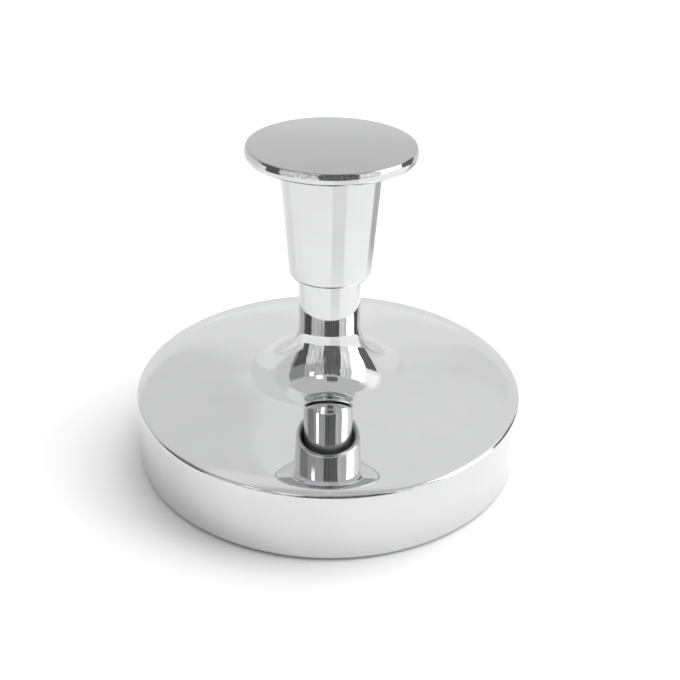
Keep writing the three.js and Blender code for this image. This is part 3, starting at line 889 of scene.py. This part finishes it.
def plunger_rod():
    """Ground rod with a groove for the stop ring, a threaded stud and a tapped foot."""
    radius, bottom, top = span("plunger_rod")
    stud, stud_bevel, pitch, depth = 2.9, 0.5, 0.8, 0.3
    shoulder, shoulder_edge = 73.8, 0.2
    groove, groove_bottom, groove_top = 2.7, 43.75, 44.85
    tapping, tapping_depth = 1.3, 6.6
    edge = 0.3
    return turned("plunger_rod", [
        (0, bottom + tapping_depth + 0.4),
        (tapping, bottom + tapping_depth),
        (tapping, bottom + edge),
        (tapping + edge, bottom),
        *arc(radius - edge, bottom + edge, edge, -90, 0, 4),
        (radius, groove_bottom),
        (groove, groove_bottom),
        (groove, groove_top),
        (radius, groove_top),
        *arc(radius - shoulder_edge, shoulder - shoulder_edge, shoulder_edge, 0, 90, 4),
        *column(stud, shoulder, top - stud_bevel, pitch),
        (stud - stud_bevel, top),
        (0, top),
    ], MEDIUM, thread(shoulder + 0.1, top - stud_bevel, pitch, depth))


def stop_ring():
    """Retaining ring that grips the rod's groove with three prongs, open towards +X."""
    _, bottom, top = span("stop_ring")
    radius = 5.1
    grip = 2.85
    relief = 0.75  # distance from the rod between the prongs
    prong_angle, prong_half, prong_blend = 118, 14, 9  # degrees

    def prongs(r, z, angle):
        if r > grip + 0.2:
            return r
        turn = abs(math.degrees(angle) - 180)  # 0 opposite the mouth, 180 at the mouth
        off_prong = min(turn, abs(turn - prong_angle))
        return r + relief * max(0, min(1, (off_prong - prong_half) / prong_blend))

    blank = turned("stop_ring", ring_outline(grip, radius, bottom, top, 0.1), MEDIUM, prongs)
    mouth = box_mesh(6, grip * 1.5, 4)
    return bored(blank, [moved(mouth, x=4, z=bottom - 2)])


def clamp_nut():
    """Hexagon nut with chamfered corners and a threaded bore."""
    _, bottom, top = span("clamp_nut")
    corner, corner_bevel = 8.9, 0.55
    bore, bore_bevel = 5.95, 0.3
    pitch, depth = 0.8, 0.3
    flat = corner * math.cos(math.radians(30))
    wall = thread(bottom + bore_bevel, top - bore_bevel, pitch, -depth)

    def hexagon(r, z, angle):
        if r < bore + 0.4:
            return wall(r, z, angle)
        degrees = math.degrees(angle)
        off_flat = math.radians(degrees - 60 * round(degrees / 60))
        return min(r, flat / math.cos(off_flat))

    return turned("clamp_nut", [
        (bore + bore_bevel, bottom),
        (flat, bottom),
        (corner, bottom + corner_bevel),
        (corner, top - corner_bevel),
        (flat, top),
        (bore + bore_bevel, top),
        *reversed(column(bore, bottom + bore_bevel, top - bore_bevel, pitch)),
    ], 96, hexagon)


def lock_washer():
    """Split spring washer."""
    _, bottom, top = span("lock_washer")
    inner, outer = 6, 8.6
    split_width, split_slant = 0.7, 0.5
    body = turned("lock_washer", ring_outline(inner, outer, bottom, top, 0.12), MEDIUM)
    cut = box_mesh(4, split_width, 4)
    cut.transform(Matrix.Rotation(split_slant, 4, "X"))
    return bored(body, [moved(cut, x=7.5, y=1, z=(bottom + top) / 2 - 1.8)])


def spring_seat():
    """Pressed cup with a collar that centres the spring."""
    radius, bottom, top = span("spring_seat")
    sheet = 0.8
    bore, collar = 3.65, 4.4
    return turned("spring_seat", rounded([
        (bore, bottom, 0.1),
        (collar, bottom, 0.2),
        (collar, top - sheet, 0.3),
        (radius, top - sheet, 0.2),
        (radius, top, 0.2),
        (bore, top, 0.6),
    ]), MEDIUM)


stand_for("upper_guide_bush", upper_guide_bush(), BRONZE)
stand_for("lower_guide_bush", lower_guide_bush(), BRONZE)
stand_for("plunger_rod", plunger_rod(), STAINLESS)
stand_for("stop_ring", stop_ring(), STEEL)
stand_for("stop_bumper", washer("stop_bumper", 3.65, 0.25), RUBBER)
stand_for("clamp_nut", clamp_nut(), STEEL)
stand_for("lock_washer", lock_washer(), STEEL)
stand_for("spring_seat", spring_seat(), STEEL)

# ---------- Spring ----------

WIRE = 0.5  # radius of the wire
COIL = 5.6  # from the axis to the middle of the wire
TURNS = 5.5
SPRING_BOTTOM, SPRING_TOP = span("return_spring")[1:]


def wire_height(turn):
    """Height of the wire's middle: a closed turn at each end and open turns between them."""
    closed_pitch = 2.2 * WIRE
    bottom, top = SPRING_BOTTOM + WIRE, SPRING_TOP - WIRE
    open_turns = TURNS - 2
    open_pitch = (top - bottom - 2 * closed_pitch) / open_turns
    low = min(turn, 1) * closed_pitch
    middle = min(max(turn - 1, 0), open_turns) * open_pitch
    high = max(turn - 1 - open_turns, 0) * closed_pitch
    return bottom + low + middle + high


def return_spring(section=20, steps=96):
    """Wire wound into a helix; its ends are flat."""
    bm = bmesh.new()
    rings = []
    for i in range(round(TURNS * steps) + 1):
        turn = i / steps
        angle = 2 * math.pi * turn
        out = Vector((math.cos(angle), math.sin(angle), 0))
        up = Vector((0, 0, 1))
        middle = out * COIL + up * wire_height(turn)
        ring = []
        for k in range(section):
            around = 2 * math.pi * k / section
            spoke = (out * math.cos(around) + up * math.sin(around)) * WIRE
            ring.append(bm.verts.new((middle + spoke) * MM))
        rings.append(ring)
    for low, high in zip(rings, rings[1:]):
        for k in range(section):
            n = (k + 1) % section
            bm.faces.new((low[k], low[n], high[n], high[k]))
    bm.faces.new(rings[0])
    bm.faces.new(rings[-1])
    bmesh.ops.recalc_face_normals(bm, faces=bm.faces)
    mesh = bpy.data.meshes.new("return_spring")
    bm.to_mesh(mesh)
    bm.free()
    return finished(mesh, 50)


stand_for("thrust_washer", washer("thrust_washer", 3.8, 0.12), STAINLESS)
spring = stand_for("return_spring", return_spring(), STAINLESS)
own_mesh(spring)

# ---------- Studio ----------

TABLE_CORNERS = [(-0.24, -0.34), (0.6, -0.34), (0.6, 0.1), (0.3, 0.17), (-0.24, 0.17)]  # metres
SOFT_BOX_PLACE = (0.7, 0.5, 1.75)
SOFT_BOX_WIDTH = 2.2
SOFT_BOX_WATTS = 24
WALL_LEVEL = 0.92  # brightness of the room where nothing else is painted
FRONT = 124  # degrees to either side of the back wall where the front of the room begins
WANDER = 8  # degrees by which the edges of what stands around wander to either side
STRIPE = 3.5  # width in degrees of the upright stripes in the front of the room
STRIPE_TOP = 50  # elevation in degrees at which they end
# Shadows on the table that only reflections see. The first dims the table away from the puck, and the
# others show in the grip as soft upright streaks.
# Azimuth from and to and soft edge in degrees, distance at which each sets in in metres, darkness.
TABLE_SHADOWS = {
    "far_table": (-200, 200, 10, 0.115, 0.05),
    "post": (12, 62, 12, 0.105, 0.54),
    "camera_stand": (143, 176, 7, 0.085, 0.18),
    "left_corner": (-75, -12, 24, 0.075, 0.18),
}
# What stands around the table, each painted over the ones before it. Azimuth runs from +Y towards +X.
# Azimuth from and to, elevation from and to, width of the soft edge (all in degrees), brightness.
SURROUNDINGS = {
    "ceiling": (62, 298, 51, 95, 5, 0.64),
    "ceiling_middle": (0, 360, 68, 95, 7, 0.64),
    "back_wall_foot": (-40, 40, -30, 22, 3, 0.955),
    "behind_table": (-75, 75, -30, 0, 8, 0.8),
    "left_wall": (-62, -12, 24, 56, 3, 0.82),
    "left_corner": (-90, -45, 2, 52, 12, 0.74),
    "left_cupboard": (-112, -72, 3, 50, 7, 0.33),
    "cupboard_door": (-112, -78, 3, 27, 5, 0.12),
    "box_on_table": (-116, -88, -30, 8, 3, 0.12),
    "right_wall_shade": (13, 24, 22, 30, 5, 0.86),
    "front_left_wall": (-166, -112, -30, 30, 5, 0.75),
    "front_left_shade": (-166, -112, 28, 52, 6, 0.5),
    "front_left_lamp": (-138, -125, 43, 49, 4, 3.0),
    "front_lamp": (-160, -144, 50, 57, 4, 3.0),
    "front_right_wall": (114, 142, 34, 52, 6, 0.75),
    "camera_stand": (143, 194, -30, 50, 6, 0.16),
    "camera": (152, 188, 53, 63, 4, 0.17),
    "back_shelf": (-12, 12, 11, 16, 2, 1.03),
    "right_ceiling": (46, 84, 30, 52, 12, 1.3),
    "window": (79, 113, -3, 50, 5, 4.0),
    "post": (50, 77, -30, 27, 3, 0.16),
}


def soft_step(tree, value, edge, width):
    """1 below the edge and 0 above it, with a smooth change over the width."""
    node = tree.nodes.new("ShaderNodeMapRange")
    node.interpolation_type = "SMOOTHSTEP"
    tree.links.new(value, node.inputs["Value"])
    node.inputs["From Min"].default_value = edge - width / 2
    node.inputs["From Max"].default_value = edge + width / 2
    node.inputs["To Min"].default_value = 1
    node.inputs["To Max"].default_value = 0
    return node.outputs["Result"]


def sector(tree, bearing, left, right, soft):
    """1 between two bearings in degrees and 0 elsewhere, with soft edges of that width."""
    offset = calculate(tree, "WRAP", calculate(tree, "SUBTRACT", bearing, (left + right) / 2), 180, -180)
    return soft_step(tree, calculate(tree, "ABSOLUTE", offset), (right - left) / 2, soft)


def surroundings():
    """The room around the table, as brightness by direction. The camera itself sees plain white."""
    world = bpy.data.worlds.new("studio")
    bpy.context.scene.world = world
    world.use_nodes = True
    tree = world.node_tree
    background = tree.nodes["Background"]
    direction = tree.nodes.new("ShaderNodeTexCoord").outputs["Generated"]
    ripple = tree.nodes.new("ShaderNodeTexNoise")
    ripple.inputs["Scale"].default_value = 2.5  # waves over the whole room
    tree.links.new(direction, ripple.inputs["Vector"])
    axes = tree.nodes.new("ShaderNodeSeparateXYZ")
    tree.links.new(direction, axes.inputs[0])
    wander = calculate(tree, "MULTIPLY_ADD", ripple.outputs["Fac"], 2 * WANDER, -WANDER)
    bearing = calculate(tree, "DEGREES", calculate(tree, "ARCTAN2", axes.outputs["X"], axes.outputs["Y"]))
    azimuth = calculate(tree, "ADD", bearing, wander)
    height = calculate(tree, "DEGREES", calculate(tree, "ARCSINE", axes.outputs["Z"]))
    elevation = calculate(tree, "MULTIPLY_ADD", wander, 0.5, height)
    level = WALL_LEVEL
    for left, right, low, high, soft, brightness in SURROUNDINGS.values():
        across = sector(tree, azimuth, left, right, soft)
        rise = calculate(tree, "ABSOLUTE", calculate(tree, "SUBTRACT", elevation, (low + high) / 2))
        cover = calculate(tree, "MULTIPLY", across, soft_step(tree, rise, (high - low) / 2, soft))
        change = calculate(tree, "SUBTRACT", brightness, level)
        level = calculate(tree, "MULTIPLY_ADD", cover, change, level)
    # A degree of bearing counts as a millimetre here, and a degree of height as a tenth of one.
    across = calculate(tree, "MULTIPLY", bearing, MM)
    upwards = calculate(tree, "MULTIPLY", height, 0.1 * MM)
    stripes = spread(tree, noise(tree, joined(tree, across, upwards, 0.0), STRIPE, 3), -0.5, 0.6)
    backward = calculate(tree, "MULTIPLY", calculate(tree, "ABSOLUTE", bearing), -1)
    in_front = soft_step(tree, backward, -FRONT, 20)
    striped = calculate(tree, "MULTIPLY", in_front, soft_step(tree, height, STRIPE_TOP, 8))
    level = calculate(tree, "MULTIPLY_ADD", level, calculate(tree, "MULTIPLY", striped, stripes), level)
    seen = tree.nodes.new("ShaderNodeLightPath").outputs["Is Camera Ray"]
    strength = calculate(tree, "MULTIPLY_ADD", seen, calculate(tree, "SUBTRACT", 1, level), level)
    tree.links.new(strength, background.inputs["Strength"])
    background.inputs["Color"].default_value = (1, 1, 1, 1)


SHEET = surface(
    "matt_white_sheet", (0.92, 0.92, 0.92), metallic=0, roughness=0.9, rubbed=0.02,
    mottle=0.01, mottle_size=60, grain=(1.5, 0.01))


def stage_sheet(name, corners, height):
    """A flat white sheet that is not part of the object."""
    mesh = bpy.data.meshes.new(name)
    mesh.from_pydata([(x, y, height) for x, y in corners], [], [tuple(range(len(corners)))])
    sheet = bpy.data.objects.new(name, mesh)
    bpy.context.scene.collection.objects.link(sheet)
    mesh.materials.append(SHEET)
    return sheet


def table_shadows():
    """A sheet just above the table that only reflections see, darkened by the table's shadows."""
    sheet = stage_sheet("table_shadows", TABLE_CORNERS, 0.0003)
    sheet.visible_camera = False
    sheet.visible_shadow = False
    sheet.visible_diffuse = False
    material = bpy.data.materials.new("table_shadows")
    material.use_nodes = True
    tree = material.node_tree
    x, y, _ = split(tree, place(tree))
    bearing = calculate(tree, "DEGREES", calculate(tree, "ARCTAN2", x, y))
    distance = split(tree, lathe_space(tree))[0]
    shade = 0
    for left, right, soft, start, darkness in TABLE_SHADOWS.values():
        across = sector(tree, bearing, left, right, soft)
        along = calculate(tree, "SUBTRACT", 1, soft_step(tree, distance, start, 0.04))
        cover = calculate(tree, "MULTIPLY", across, along)
        shade = calculate(tree, "MAXIMUM", shade, calculate(tree, "MULTIPLY", cover, darkness))
    principled = tree.nodes["Principled BSDF"]
    principled.inputs["Base Color"].default_value = (0, 0, 0, 1)
    principled.inputs["Specular IOR Level"].default_value = 0
    principled.inputs["Roughness"].default_value = 1
    tree.links.new(shade, principled.inputs["Alpha"])
    sheet.data.materials[0] = material


def soft_box():
    """A broad soft light from behind on the right, which the chrome doesn't mirror."""
    data = bpy.data.lights.new("soft_box", "AREA")
    data.shape = "DISK"
    data.size = SOFT_BOX_WIDTH
    data.energy = SOFT_BOX_WATTS
    light = bpy.data.objects.new("soft_box", data)
    light.location = SOFT_BOX_PLACE
    light.rotation_euler = Vector(SOFT_BOX_PLACE).to_track_quat("Z", "Y").to_euler()
    light.visible_glossy = False
    bpy.context.scene.collection.objects.link(light)


floor = stage_sheet("floor", [(-4, -4), (4, -4), (4, 4), (-4, 4)], -0.0005)
floor.visible_glossy = False  # reflections see the table's edge and the room beyond it
stage_sheet("table", TABLE_CORNERS, 0)
table_shadows()
surroundings()
soft_box()
bpy.context.scene.view_settings.view_transform = "Standard"
